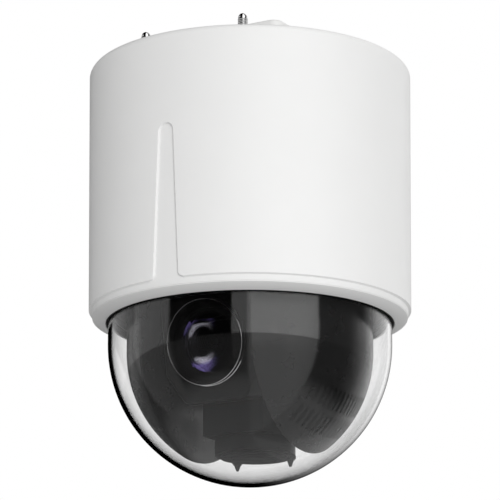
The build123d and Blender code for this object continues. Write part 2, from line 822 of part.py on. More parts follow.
with BuildPart() as module_bracket:
    sheet = 2.5
    half = head_half_width - head_wall - 0.2
    reach = 18.0
    for side in (-1, 1):
        block(lens_plane, sheet, 36, -reach, reach, ((side * (half - sheet / 2), 2),))
    block(lens_plane, 2 * half, sheet, -reach, reach, ((0, -14.75),))
    block(lens_plane, 32, 11, -reach, reach, ((0, -19),))
    tube(lens_plane, barrel_outer, 0, -reach, reach, mode=Mode.SUBTRACT)
    tube(side_on, tilt_shaft_radius, 0, -head_half_width, head_half_width, mode=Mode.SUBTRACT)

rod_places = ((-rod_offset, 0), (rod_offset, 0))
barrel_back = -25.0
barrel_rear_wall = -23.0
lip_low = 38.0
flange_low = 41.0

with BuildPart() as lens_barrel:
    tube(lens_plane, barrel_outer, barrel_inner, barrel_back, lens_ring_back)
    tube(lens_plane, barrel_outer, 0, barrel_back, barrel_rear_wall)
    tube(lens_plane, lens_ring_radius, barrel_inner, flange_low, lens_ring_back)
    tube(lens_plane, barrel_outer, rod_offset - rod_radius - 1, lip_low, flange_low)
    block(lens_plane, 14, 11, barrel_back, barrel_rear_wall, mode=Mode.SUBTRACT)

with BuildPart() as guide_rods:
    tube(lens_plane, rod_radius, 0, barrel_rear_wall, lip_low, rod_places)


def lens_cell(back, front, glass):
    """A sliding lens in its round cell, with a hole at each side for a guide rod."""
    with BuildPart() as cell:
        tube(lens_plane, barrel_inner - 0.4, glass - 0.5, back, front)
        bulge = (front - back) * 0.35
        middle = (front + back) / 2
        lens_turned(((0, middle - bulge), (glass, middle - 1), (glass, middle + 1), (0, middle + bulge)))
        tube(lens_plane, rod_radius + running, 0, back, front, rod_places, Mode.SUBTRACT)
    return cell


zoom_group = lens_cell(6, 16, 13.0)
focus_group = lens_cell(-14, -6, 11.0)

with BuildPart() as ir_filter:
    block(lens_plane, 20, 12, -21, -19.5, ((-4, 0),))
    tube(lens_plane, 4.2, 0, -21, -19.5, ((0, 0),), Mode.SUBTRACT)
    tube(lens_plane, 4.2, 0, -20.6, -19.5, ((-8.6, 0),), Mode.SUBTRACT)

with BuildPart() as sensor_board:
    block(lens_plane, 48, 40, barrel_back - 3.4, barrel_back - 1.8)
    block(lens_plane, 16, 14, barrel_back - 1.8, barrel_back)

glass_crown = 4.4
crown_radius = (glass_radius**2 + glass_crown**2) / (2 * glass_crown)
glass_rim_front = lens_ring_back + 4.2
with BuildPart() as front_element:
    with BuildSketch(lens_meridian):
        with BuildLine():
            Line((0, lens_ring_back), (glass_radius, lens_ring_back))
            Line((glass_radius, lens_ring_back), (glass_radius, glass_rim_front))
            RadiusArc((glass_radius, glass_rim_front), (0, glass_rim_front + glass_crown), -crown_radius)
            Line((0, glass_rim_front + glass_crown), (0, lens_ring_back))
        make_face()
    revolve(axis=lens_axis)

with BuildPart() as lens_ring:
    glass_seat = glass_radius + 0.1
    lens_turned(
        (
            (glass_seat, lens_ring_back),
            (lens_ring_radius, lens_ring_back),
            (lens_ring_radius, lens_ring_front - 0.5),
            (lens_ring_radius - 0.4, lens_ring_front),
            (lens_ring_radius - 1.0, lens_ring_front),
            (glass_seat, lens_ring_front - 1.6),
        )
    )

# ---------------------------------------------------------------- trim ring, dome and its clamp

clamp_screw_places = on_circle(clamp_screw_circle, 6, 30.0)

with BuildPart() as trim_ring:
    turned(
        (
            (ring_outer, cover_bottom),
            (ring_outer, cover_bottom - 0.5),
            (ring_lip, ring_lip_bottom),
            (ring_lip, ring_ledge),
            (ring_spigot_inner, ring_ledge),
            (ring_spigot_inner, ring_spigot_top),
            (ring_spigot_outer, ring_spigot_top),
            (ring_spigot_outer, cover_bottom),
        )
    )
    tube(upright, 1.2, 0, ring_ledge - 2, ring_ledge, clamp_screw_places, Mode.SUBTRACT)

with BuildPart() as dome_gasket:
    tube(upright, dome_flange_radius, dome_radius + 0.15, ring_ledge, dome_flange_low)
    tube(upright, ring_lip - 0.1, dome_radius + 0.15, ring_lip_bottom + 0.4, ring_ledge)
    tube(upright, 1.6, 0, ring_ledge, dome_flange_low, clamp_screw_places, Mode.SUBTRACT)

with BuildPart() as dome_bubble:
    with BuildSketch(Plane.XZ):
        with BuildLine():
            inner_radius = dome_radius - dome_wall
            Line((inner_radius, dome_flange_high), (dome_flange_radius, dome_flange_high))
            Line((dome_flange_radius, dome_flange_high), (dome_flange_radius, dome_flange_low))
            Line((dome_flange_radius, dome_flange_low), (dome_radius, dome_flange_low))
            Line((dome_radius, dome_flange_low), (dome_radius, dome_centre))
            RadiusArc((dome_radius, dome_centre), (0, dome_centre - dome_radius), dome_radius)
            Line((0, dome_centre - dome_radius), (0, dome_centre - inner_radius))
            RadiusArc((0, dome_centre - inner_radius), (inner_radius, dome_centre), -inner_radius)
            Line((inner_radius, dome_centre), (inner_radius, dome_flange_high))
        make_face()
    revolve(axis=Axis.Z)
    tube(upright, 1.6, 0, dome_flange_low, dome_flange_high, clamp_screw_places, Mode.SUBTRACT)

with BuildPart() as dome_clamp_ring:
    tube(upright, dome_flange_radius + 0.3, dome_radius - dome_wall, dome_flange_high, clamp_high)
    tube(upright, 1.4, 0, dome_flange_high, clamp_high, clamp_screw_places, Mode.SUBTRACT)

with BuildPart() as clamp_screws:
    tube(upright, 1.2, 0, ring_ledge - 1.8, clamp_high, clamp_screw_places)
    tube(upright, 2.2, 0, clamp_high, clamp_high + 1.7, clamp_screw_places)

with BuildPart() as ring_posts:
    tube(upright, ring_post_radius, 0, clamp_high, chassis_low, ring_post_places)

# ---------------------------------------------------------------- written pieces

pieces = {
    "outer_cover": outer_cover,
    "cover_screws": cover_screws,
    "cable_box": cable_box,
    "box_screws": box_screws,
    "top_plate": top_plate,
    "ceiling_studs": ceiling_studs,
    "frame_posts": frame_posts,
    "main_board": main_board,
    "board_spacers": board_spacers,
    "network_socket": network_socket,
    "power_terminal": power_terminal,
    "board_components": board_components,
    "heat_sink": heat_sink,
    "chassis_plate": chassis_plate,
    "bearing_housing": bearing_housing,
    "pan_bearing_outer": pan_bearing_outer,
    "slip_ring_body": slip_ring_body,
    "pan_motor": pan_motor,
    "pan_belt": pan_belt,
    "ring_posts": ring_posts,
    "trim_ring": trim_ring,
    "dome_gasket": dome_gasket,
    "dome_bubble": dome_bubble,
    "dome_clamp_ring": dome_clamp_ring,
    "clamp_screws": clamp_screws,
    "pan_pinion": pan_pinion,
    "pan_hub": pan_hub,
    "pan_bearing_inner": pan_bearing_inner,
    "bearing_balls": bearing_balls,
    "pan_pulley": pan_pulley,
    "pan_platform": pan_platform,
    "platform_screws": platform_screws,
    "slip_ring_rotor": slip_ring_rotor,
    "side_shroud_left": side_shroud_left,
    "side_shroud_right": side_shroud_right,
    "front_brow": front_brow,
    "rear_shroud": rear_shroud,
    "yoke_arm_left": yoke_arm_left,
    "yoke_arm_right": yoke_arm_right,
    "tilt_bushes": tilt_bushes,
    "driver_board": driver_board,
    "fan_frame": fan_frame,
    "fan_rotor": fan_rotor,
    "tilt_motor": tilt_motor,
    "tilt_pinion": tilt_pinion,
    "tilt_belt": tilt_belt,
    "tilt_pulley": tilt_pulley,
    "trunnion_shafts": trunnion_shafts,
    "module_bracket": module_bracket,
    "front_cover": front_cover,
    "rear_cover": rear_cover,
    "bottom_cap": bottom_cap,
    "lens_barrel": lens_barrel,
    "guide_rods": guide_rods,
    "zoom_group": zoom_group,
    "focus_group": focus_group,
    "ir_filter": ir_filter,
    "sensor_board": sensor_board,
    "front_element": front_element,
    "lens_ring": lens_ring,
}

os.makedirs("parts", exist_ok=True)
for node, piece in pieces.items():
    piece.part.label = node
    export_step(piece.part, f"parts/{node}.step")
print(len(pieces), "pieces written")
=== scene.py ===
import math

import bmesh
import bpy
from mathutils import Matrix, Vector


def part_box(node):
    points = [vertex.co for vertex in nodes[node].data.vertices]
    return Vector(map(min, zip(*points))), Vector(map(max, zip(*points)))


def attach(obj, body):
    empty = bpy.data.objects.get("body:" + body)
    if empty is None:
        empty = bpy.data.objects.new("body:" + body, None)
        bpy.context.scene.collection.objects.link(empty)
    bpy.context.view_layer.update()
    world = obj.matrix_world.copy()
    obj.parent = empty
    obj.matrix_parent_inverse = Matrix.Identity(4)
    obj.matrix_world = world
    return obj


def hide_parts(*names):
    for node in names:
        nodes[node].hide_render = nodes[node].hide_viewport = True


# A ceiling-hung dome camera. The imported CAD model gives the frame, the inner works and every moving
# body; this script adds the finished outer meshes, the optics, the materials and the studio.
# Shapes are written in millimetres and scaled to metres as each mesh is made.

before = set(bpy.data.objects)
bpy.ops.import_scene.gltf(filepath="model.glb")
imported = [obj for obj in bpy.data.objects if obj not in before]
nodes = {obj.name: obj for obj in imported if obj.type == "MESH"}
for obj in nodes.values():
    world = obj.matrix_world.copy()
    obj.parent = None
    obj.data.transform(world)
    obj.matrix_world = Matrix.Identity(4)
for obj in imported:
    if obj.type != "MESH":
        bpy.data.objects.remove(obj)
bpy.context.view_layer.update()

MM = 0.001


# ---------------------------------------------------------------- sizes read from the frame


def span(node):
    """A CAD node's lowest and highest corner, in millimetres."""
    low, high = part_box(node)
    return low / MM, high / MM


cover_low, cover_high = span("outer_cover")
ring_low, ring_high = span("trim_ring")
dome_low, dome_high = span("dome_bubble")
gasket_low, gasket_high = span("dome_gasket")

# The cover: a tapered drum whose raised wall stands on a recessed band.
COVER_TOP_RADIUS = cover_high.x
COVER_TAPER = 1.3
COVER_LOW_RADIUS = COVER_TOP_RADIUS - COVER_TAPER
COVER_BOTTOM = cover_low.z
COVER_BORE = 91.4
ROOF = 3.2
TOP_EDGE = 4.5
RECESS = 1.5
BAND_HEIGHT = 3.8
PANEL_BOTTOM = COVER_BOTTOM + BAND_HEIGHT
BAND_LOW_RADIUS = 93.0
EDGE_WIDTH = 0.6  # how wide a rounded edge of the raised wall is

# The grooves at the front and the back of the raised wall.
GROOVE_TOP = -55.7
GROOVE_TOP_HALF = 4.9
GROOVE_LOW_HALF = 8.45
GROOVE_CORNER = 3.0
GROOVE_ZONE = 14.0  # the wall is finely divided this far each side of a groove

# The ring under the cover and the clear dome.
RING_OUTER = ring_high.x
RING_LIP = 84.75
RING_SPIGOT_OUTER = 91.2
RING_SPIGOT_INNER = 89.3
RING_LEDGE = gasket_high.z - 1.0
DOME_RADIUS = 83.5
DOME_WALL = 2.3
DOME_CENTRE = dome_low.z + DOME_RADIUS
FLANGE_RADIUS = dome_high.x
FLANGE_THICKNESS = 2.2

# The lens, in distances forward of the tilt axis along the lens.
TILT_HEIGHT = -166.4
LENS_TILT = math.radians(10.0)
RING_RADIUS = 25.25
RING_FRONT = 52.7
RING_BACK = 44.0
BEZEL_RADIUS = 24.5  # inside of the bright ring, outside of the black lip that holds the front glass
GLASS_RADIUS = 23.3
GLASS_RIM = 48.2
GLASS_CROWN = 4.4
INNER_LENS_RADIUS = 17.2

lens_frame = Matrix.Translation((0, 0, TILT_HEIGHT)) @ Matrix.Rotation(math.pi / 2 + LENS_TILT, 4, "X")

# ---------------------------------------------------------------- mesh helpers


def make_piece(name, bm, body, slot, replaced=(), sharp=35.0, look=None):
    """Turn a bmesh in millimetres into a smooth-shaded piece that rides on a body."""
    bmesh.ops.recalc_face_normals(bm, faces=bm.faces)
    bmesh.ops.scale(bm, vec=(MM, MM, MM), verts=bm.verts)
    mesh = bpy.data.meshes.new(name)
    bm.to_mesh(mesh)
    bm.free()
    mesh.polygons.foreach_set("use_smooth", [True] * len(mesh.polygons))
    mesh.set_sharp_from_angle(angle=math.radians(sharp))
    piece = bpy.data.objects.new(name, mesh)
    bpy.context.scene.collection.objects.link(piece)
    piece.data.materials.append(materials[look or slot])
    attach(piece, body)
    if replaced:
        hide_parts(*replaced)
    return piece


def rounded(corners, steps=5):
    """An outline from (x, y, radius) corners, with each corner of non-zero radius turned into an arc."""
    outline = []
    for place, (x, y, radius) in enumerate(corners):
        here = Vector((x, y))
        if radius == 0:
            outline.append(here)
            continue
        before = Vector(corners[place - 1][:2]) - here
        after = Vector(corners[(place + 1) % len(corners)][:2]) - here
        half = before.angle(after) / 2
        reach = radius / math.tan(half)
        start = here + before.normalized() * reach
        end = here + after.normalized() * reach
        centre = here + (before.normalized() + after.normalized()).normalized() * (radius / math.sin(half))
        from_centre = start - centre
        turn = from_centre.angle_signed(end - centre)
        for step in range(steps + 1):
            outline.append(centre + rotated(from_centre, -turn * step / steps))
    return [(point.x, point.y) for point in outline]


def rotated(vector, angle):
    """A flat vector turned anticlockwise."""
    c, s = math.cos(angle), math.sin(angle)
    return Vector((c * vector.x - s * vector.y, s * vector.x + c * vector.y))


def arc(centre, radius, start, end, steps):
    """Points on an arc about a centre, between two angles in degrees."""
    angles = [math.radians(start + (end - start) * step / steps) for step in range(steps + 1)]
    return [(centre[0] + radius * math.cos(a), centre[1] + radius * math.sin(a)) for a in angles]


def lathe(outline, segments=192, closed=True, axis_frame=None, bm=None):
    """Turn (radius, height) points about the local Z axis. Points on the axis become one vertex."""
    bm = bm or bmesh.new()
    axis_frame = axis_frame or Matrix.Identity(4)
    rows = []
    for radius, height in outline:
        if radius < 1e-6:
            pole = bm.verts.new(axis_frame @ Vector((0, 0, height)))
            rows.append([pole] * segments)
            continue
        angles = [2 * math.pi * step / segments for step in range(segments)]
        ring = [(radius * math.cos(a), radius * math.sin(a), height) for a in angles]
        rows.append([bm.verts.new(axis_frame @ Vector(point)) for point in ring])
    pairs = list(zip(rows, rows[1:]))
    if closed and not (outline[0][0] < 1e-6 and outline[-1][0] < 1e-6):
        pairs.append((rows[-1], rows[0]))
    for lower, upper in pairs:
        for step in range(segments):
            nearby = (step + 1) % segments
            corners = [lower[step], lower[nearby], upper[nearby], upper[step]]
            face = list(dict.fromkeys(corners))
            if len(face) > 2:
                bm.faces.new(face)
    return bm


def prism(outline, low, high, bm=None, axis_frame=None):
    """A closed block over a flat outline, between two heights."""
    bm = bm or bmesh.new()
    axis_frame = axis_frame or Matrix.Identity(4)
    lower = [bm.verts.new(axis_frame @ Vector((x, y, low))) for x, y in outline]
    upper = [bm.verts.new(axis_frame @ Vector((x, y, high))) for x, y in outline]
    bm.faces.new(list(reversed(lower)))
    bm.faces.new(upper)
    for step in range(len(outline)):
        nearby = (step + 1) % len(outline)
        bm.faces.new([lower[step], lower[nearby], upper[nearby], upper[step]])
    return bm


def cut_away(piece, cutters):
    """Cut closed meshes, given in millimetres, out of a piece."""
    bm = bmesh.new()
    for cutter in cutters:
        other = bpy.data.meshes.new("cutter_part")
        cutter.to_mesh(other)
        cutter.free()
        bm.from_mesh(other)
        bpy.data.meshes.remove(other)
    bmesh.ops.recalc_face_normals(bm, faces=bm.faces)
    bmesh.ops.scale(bm, vec=(MM, MM, MM), verts=bm.verts)
    mesh = bpy.data.meshes.new("cutter")
    bm.to_mesh(mesh)
    bm.free()
    cutter = bpy.data.objects.new("cutter", mesh)
    bpy.context.scene.collection.objects.link(cutter)
    modifier = piece.modifiers.new("cut", "BOOLEAN")
    modifier.operation = "DIFFERENCE"
    modifier.solver = "EXACT"
    modifier.object = cutter
    bpy.context.view_layer.update()
    evaluated = piece.evaluated_get(bpy.context.evaluated_depsgraph_get())
    result = bpy.data.meshes.new_from_object(evaluated)
    piece.modifiers.remove(modifier)
    piece.data = result
    bpy.data.objects.remove(cutter)
    bpy.data.meshes.remove(mesh)


# ---------------------------------------------------------------- materials


class Nodes:
    """Short calls for building a node tree."""

    def __init__(self, tree):
        self.tree = tree

    def add(self, kind, inputs=None, **settings):
        node = self.tree.nodes.new(kind)
        for key, value in settings.items():
            setattr(node, key, value)
        for key, value in (inputs or {}).items():
            if isinstance(value, bpy.types.NodeSocket):
                self.tree.links.new(value, node.inputs[key])
            else:
                node.inputs[key].default_value = value
        return node

    def maths(self, operation, *values, clamp=False):
        node = self.add("ShaderNodeMath", dict(enumerate(values)), operation=operation)
        node.use_clamp = clamp
        return node.outputs[0]

    def dot(self, vector, direction):
        node = self.add("ShaderNodeVectorMath", {0: vector, 1: direction}, operation="DOT_PRODUCT")
        return node.outputs["Value"]

    def noise(self, place, scale, detail=3.0, stretch=None):
        if stretch:
            place = self.add("ShaderNodeMapping", {"Vector": place, "Scale": stretch}).outputs[0]
        settings = {"Vector": place, "Scale": scale, "Detail": detail}
        return self.add("ShaderNodeTexNoise", settings).outputs["Fac"]

    def spread(self, value, low, high):
        inputs = {"Value": value, "From Min": 0.3, "From Max": 0.7, "To Min": low, "To Max": high}
        return self.add("ShaderNodeMapRange", inputs).outputs[0]

    def blend(self, factor, first, second):
        inputs = {"Factor": factor, "A": first, "B": second}
        node = self.add("ShaderNodeMix", data_type="RGBA")
        for key, value in inputs.items():
            socket = [s for s in node.inputs if s.name == key and s.enabled][0]
            if isinstance(value, bpy.types.NodeSocket):
                self.tree.links.new(value, socket)
            else:
                socket.default_value = value
        return [s for s in node.outputs if s.enabled][0]


def new_material(name):
    """An empty node material, its nodes and its output."""
    material = bpy.data.materials.new(name)
    material.use_nodes = True
    material.node_tree.nodes.clear()
    tree = Nodes(material.node_tree)
    output = tree.add("ShaderNodeOutputMaterial")
    place = tree.add("ShaderNodeTexCoord").outputs["Object"]
    return material, tree, output, place


def rgb(grey_or_colour):
    """A colour with alpha, from a grey level or three numbers."""
    if isinstance(grey_or_colour, (int, float)):
        return (grey_or_colour,) * 3 + (1.0,)
    return tuple(grey_or_colour) + (1.0,)


def moulded(name, colour, roughness, grain=2500.0, depth=0.03, mottle=0.03, spread=0.06, **sockets):
    """A plastic, paint or metal with fine grain, slight mottling and uneven gloss."""
    material, tree, output, place = new_material(name)
    colour = rgb(colour)
    lighter = tuple(min(1.0, c * (1 + mottle)) for c in colour[:3]) + (1.0,)
    darker = tuple(c * (1 - mottle) for c in colour[:3]) + (1.0,)
    tone = tree.spread(tree.noise(place, 35.0), 0.0, 1.0)
    gloss = tree.spread(tree.noise(place, 90.0, 4.0), roughness - spread, roughness + spread)
    bump_inputs = {"Height": tree.noise(place, grain, 2.0), "Strength": depth, "Distance": 0.0002}
    bump = tree.add("ShaderNodeBump", bump_inputs)
    inputs = {
        "Base Color": tree.blend(tone, darker, lighter),
        "Roughness": gloss,
        "Normal": bump.outputs[0],
    }
    shader = tree.add("ShaderNodeBsdfPrincipled", {**inputs, **sockets})
    tree.tree.links.new(shader.outputs[0], output.inputs["Surface"])
    return material


def brushed(name, colour, roughness, stretch):
    """A metal with fine lines along one direction."""
    material, tree, output, place = new_material(name)
    lines = tree.noise(place, 60.0, 6.0, stretch)
    worn = tree.noise(place, 120.0, 3.0)
    darker = tuple(c * 0.86 for c in colour) + (1.0,)
    bump = tree.add("ShaderNodeBump", {"Height": lines, "Strength": 0.12, "Distance": 0.0001})
    inputs = {
        "Base Color": tree.blend(tree.spread(worn, 0.0, 1.0), darker, rgb(colour)),
        "Metallic": 1.0,
        "Roughness": tree.spread(lines, roughness - 0.06, roughness + 0.08),
        "Normal": bump.outputs[0],
    }
    shader = tree.add("ShaderNodeBsdfPrincipled", inputs)
    tree.tree.links.new(shader.outputs[0], output.inputs["Surface"])
    return material


def circuit_board():
    """Green solder mask over a faint raised net of tracks."""
    material, tree, output, place = new_material("board_green")
    tracks = tree.add("ShaderNodeTexBrick", {"Vector": place, "Scale": 160.0, "Mortar Size": 0.035})
    mask = tree.blend(tracks.outputs["Fac"], rgb((0.012, 0.085, 0.03)), rgb((0.03, 0.16, 0.06)))
    relief = {"Height": tracks.outputs["Fac"], "Strength": 0.2, "Distance": 0.0001}
    bump = tree.add("ShaderNodeBump", relief)
    gloss = tree.spread(tree.noise(place, 140.0), 0.28, 0.42)
    inputs = {"Base Color": mask, "Roughness": gloss, "Normal": bump.outputs[0]}
    shader = tree.add("ShaderNodeBsdfPrincipled", inputs)
    tree.tree.links.new(shader.outputs[0], output.inputs["Surface"])
    return material


def clear_plastic(name, ior=1.49, tint=(1.0, 1.0, 1.0)):
    """Clear moulded plastic that bends light, and lets lamps shine through without caustics."""
    material, tree, output, place = new_material(name)
    ripple = tree.add(
        "ShaderNodeBump", {"Height": tree.noise(place, 14.0, 1.0), "Strength": 0.005, "Distance": 0.0004}
    )
    inputs = {"Color": rgb(tint), "Roughness": 0.0, "IOR": ior, "Normal": ripple.outputs[0]}
    glass = tree.add("ShaderNodeBsdfGlass", inputs)
    clear = tree.add("ShaderNodeBsdfTransparent", {"Color": rgb(0.93)})
    path = tree.add("ShaderNodeLightPath")
    shadow = path.outputs["Is Shadow Ray"]
    mixed = tree.add("ShaderNodeMixShader", {0: shadow, 1: glass.outputs[0], 2: clear.outputs[0]})
    tree.tree.links.new(mixed.outputs[0], output.inputs["Surface"])
    return material


def coated_glass(name, tint, strength, rim=0.12):
    """A thin coated lens surface: seen through, with a coloured gloss that grows towards the rim."""
    material, tree, output, place = new_material(name)
    facing = tree.add("ShaderNodeLayerWeight", {"Blend": 0.25}).outputs["Fresnel"]
    cloud = tree.spread(tree.noise(place, 60.0, 2.0), 0.9, 1.1)
    amount = tree.maths("MULTIPLY_ADD", facing, rim, strength)
    amount = tree.maths("MULTIPLY", amount, cloud, clamp=True)
    gloss = tree.add("ShaderNodeBsdfGlossy", {"Color": rgb(tint), "Roughness": 0.0})
    clear = tree.add("ShaderNodeBsdfTransparent", {"Color": rgb(0.97)})
    mixed = tree.add("ShaderNodeMixShader", {0: amount, 1: clear.outputs[0], 2: gloss.outputs[0]})
    tree.tree.links.new(mixed.outputs[0], output.inputs["Surface"])
    return material


materials = {
    "white_cover": moulded(
        "white_cover", (0.86, 0.86, 0.855), 0.42, grain=1600.0, depth=0.03, mottle=0.006
    ),
    "white_plastic": moulded("white_plastic", (0.83, 0.83, 0.82), 0.42, depth=0.05, mottle=0.01),
    "trim_white": moulded("trim_white", (0.8, 0.8, 0.795), 0.45, depth=0.03, mottle=0.008),
    "clear_dome": clear_plastic("clear_dome"),
    "black_rubber": moulded("black_rubber", 0.012, 0.65, grain=1200.0, depth=0.2, mottle=0.2),
    "steel": brushed("steel", (0.55, 0.55, 0.56), 0.32, (1.0, 1.0, 14.0)),
    "chrome": moulded("chrome", (0.8, 0.8, 0.8), 0.09, depth=0.01, spread=0.03, Metallic=1.0),
    "aluminium": brushed("aluminium", (0.74, 0.75, 0.76), 0.36, (12.0, 1.0, 1.0)),
    "smoke_shroud": moulded(
        "smoke_shroud", 0.008, 0.24, grain=900.0, depth=0.003, mottle=0.12, **{"Specular IOR Level": 0.3}
    ),
    "black_plastic": moulded("black_plastic", 0.02, 0.42, depth=0.12, mottle=0.15),
    "head_plastic": moulded(
        "head_plastic", 0.006, 0.4, grain=1100.0, depth=0.003, mottle=0.12, **{"Specular IOR Level": 0.1}
    ),
    "lens_black": moulded("lens_black", 0.008, 0.5, depth=0.02, mottle=0.1, **{"Specular IOR Level": 0.0}),
    "board_green": circuit_board(),
    "chip_black": moulded("chip_black", 0.022, 0.5, depth=0.1, mottle=0.2),
    "brass": brushed("brass", (0.78, 0.57, 0.27), 0.3, (1.0, 1.0, 10.0)),
    "belt_rubber": moulded("belt_rubber", 0.016, 0.72, grain=1800.0, depth=0.3, mottle=0.2),
    "lens_glass": coated_glass("lens_glass", (0.75, 0.75, 0.82), 0.006),
    "violet_glass": coated_glass("violet_glass", (0.35, 0.27, 0.8), 0.028, 0.0),
    "pale_glass": coated_glass("pale_glass", (0.85, 0.82, 0.95), 0.09, 0.0),
    "silver_ring": brushed("silver_ring", (0.95, 0.95, 0.96), 0.12, (1.0, 1.0, 30.0)),
}

for node in nodes.values():
    for material_slot in node.material_slots:
        material_slot.material = materials[material_slot.material.name.split(".")[0]]

# ---------------------------------------------------------------- the cover


def groove_half(height):
    """Half the groove's width at a height, with the flare where it meets the band."""
    arch = GROOVE_TOP - GROOVE_TOP_HALF
    share = (arch - height) / (arch - PANEL_BOTTOM)
    half = GROOVE_TOP_HALF + (GROOVE_LOW_HALF - GROOVE_TOP_HALF) * share
    above = height - PANEL_BOTTOM
    if above < GROOVE_CORNER:
        inward = GROOVE_CORNER - max(0.0, above)
        half += GROOVE_CORNER - math.sqrt(GROOVE_CORNER**2 - inward**2)
    return half


def wall_radius(across, height):
    """The cover's outer radius at a distance across from the groove's middle line."""
    arch = GROOVE_TOP - GROOVE_TOP_HALF
    if height > arch:
        inside = GROOVE_TOP_HALF - math.hypot(across, height - arch)
    else:
        inside = groove_half(height) - abs(across)
    inside = max(inside, PANEL_BOTTOM - height)
    share = min(1.0, max(0.0, inside / EDGE_WIDTH))
    sunk = RECESS * share * share * (3 - 2 * share)
    raised = COVER_TOP_RADIUS - COVER_TAPER * height / PANEL_BOTTOM
    if height < PANEL_BOTTOM:
        lower_share = (PANEL_BOTTOM - height) / BAND_HEIGHT
        raised = COVER_LOW_RADIUS - (COVER_LOW_RADIUS - RECESS - BAND_LOW_RADIUS) * lower_share
    return raised - sunk


def steps_between(start, end, pitch):
    """Evenly spaced values from start towards end, without the end."""
    count = max(1, round(abs(end - start) / pitch))
    return [start + (end - start) * step / count for step in range(count)]


def outer_cover():
    """The drum: a finely divided outer wall with both grooves, a rounded top edge and a plain bore."""
    zone = math.degrees(GROOVE_ZONE / COVER_LOW_RADIUS)
    fine, coarse = 0.16, 1.6
    angles = []
    for middle in (-90.0, 90.0):
        angles += steps_between(middle - zone, middle + zone, fine)
        angles += steps_between(middle + zone, middle + 180 - zone, coarse)
    heights = steps_between(-TOP_EDGE, GROOVE_TOP + 1, 8.0)
    heights += steps_between(GROOVE_TOP + 1, GROOVE_TOP - GROOVE_TOP_HALF - 2, 0.35)
    heights += steps_between(GROOVE_TOP - GROOVE_TOP_HALF - 2, PANEL_BOTTOM + 4, 3.0)
    heights += steps_between(PANEL_BOTTOM + 4, PANEL_BOTTOM - 1.2, 0.25)
    heights += steps_between(PANEL_BOTTOM - 1.2, COVER_BOTTOM, 0.9)
    heights.append(COVER_BOTTOM)
    edge = arc((COVER_TOP_RADIUS - TOP_EDGE, -TOP_EDGE), TOP_EDGE, 90, 0, 10)[:-1]
    inner = [(COVER_BORE, COVER_BOTTOM), (COVER_BORE, -ROOF), (0.0, -ROOF)]
    bm = bmesh.new()
    rows = []
    for radius, height in [(0.0, 0.0)] + edge:
        rows.append(wall_row(bm, angles, lambda angle: radius, height))
    for height in heights:
        rows.append(wall_row(bm, angles, lambda angle: wall_radius(groove_distance(angle), height), height))
    for radius, height in inner:
        rows.append(wall_row(bm, angles, lambda angle: radius, height))
    for upper, lower in zip(rows, rows[1:]):
        for step in range(len(angles)):
            nearby = (step + 1) % len(angles)
            face = list(dict.fromkeys([upper[step], upper[nearby], lower[nearby], lower[step]]))
            if len(face) > 2:
                bm.faces.new(face)
    cover = make_piece("outer_cover_shell", bm, "housing", "white_cover", ["outer_cover"])
    cut_away(cover, cover_holes())


def groove_distance(angle):
    """The distance across from the nearer groove's middle line, along the wall."""
    from_front = min(abs(angle + 90), abs(angle - 90), abs(angle - 270))
    return COVER_LOW_RADIUS * math.radians(from_front)


def wall_row(bm, angles, radius_at, height):
    """One row of vertices round the cover."""
    if radius_at(0.0) == 0:
        return [bm.verts.new((0, 0, height))] * len(angles)
    row = []
    for angle in angles:
        radius = radius_at(angle)
        turn = math.radians(angle)
        row.append(bm.verts.new((radius * math.cos(turn), radius * math.sin(turn), height)))
    return row


def corners_of(x, y):
    """The four places at plus and minus x and y."""
    return [(side * x, end * y) for side in (-1, 1) for end in (-1, 1)]


def rod(x, y, outline, segments=32):
    """A small turned solid standing at a place."""
    return lathe(outline, segments, axis_frame=Matrix.Translation((x, y, 0)))


stud_high = span("ceiling_studs")[1]
STUD_NUT = 5.5
STUD_NUT_HEIGHT = 3.5
STUD_NECK = 2.8
STUDS = corners_of(stud_high.x - STUD_NUT, stud_high.y - STUD_NUT * math.cos(math.radians(30)))
ROOF_SCREWS = corners_of(80.0 / math.sqrt(2), 80.0 / math.sqrt(2))


def cover_holes():
    """The roof's opening under the cable box, the stud holes and the countersunk screw holes."""
    opening = [(30, 20, 5), (-30, 20, 5), (-30, -20, 5), (30, -20, 5)]
    holes = [prism(rounded(opening), -ROOF - 1, 1)]
    for x, y in STUDS:
        reach = STUD_NECK + 0.25
        holes.append(rod(x, y, [(0, -ROOF - 1), (reach, -ROOF - 1), (reach, 1), (0, 1)]))
    for x, y in ROOF_SCREWS:
        sink = [(0, -ROOF - 1), (2.2, -ROOF - 1), (2.2, -2.2), (4.5, 0.1), (4.5, 1), (0, 1)]
        holes.append(rod(x, y, sink))
    return holes


# ---------------------------------------------------------------- ceiling fixings


BOX_WALL = 2.6
BOX_TOP_EDGE = 2.0
CABLE_HOLE = 10.5


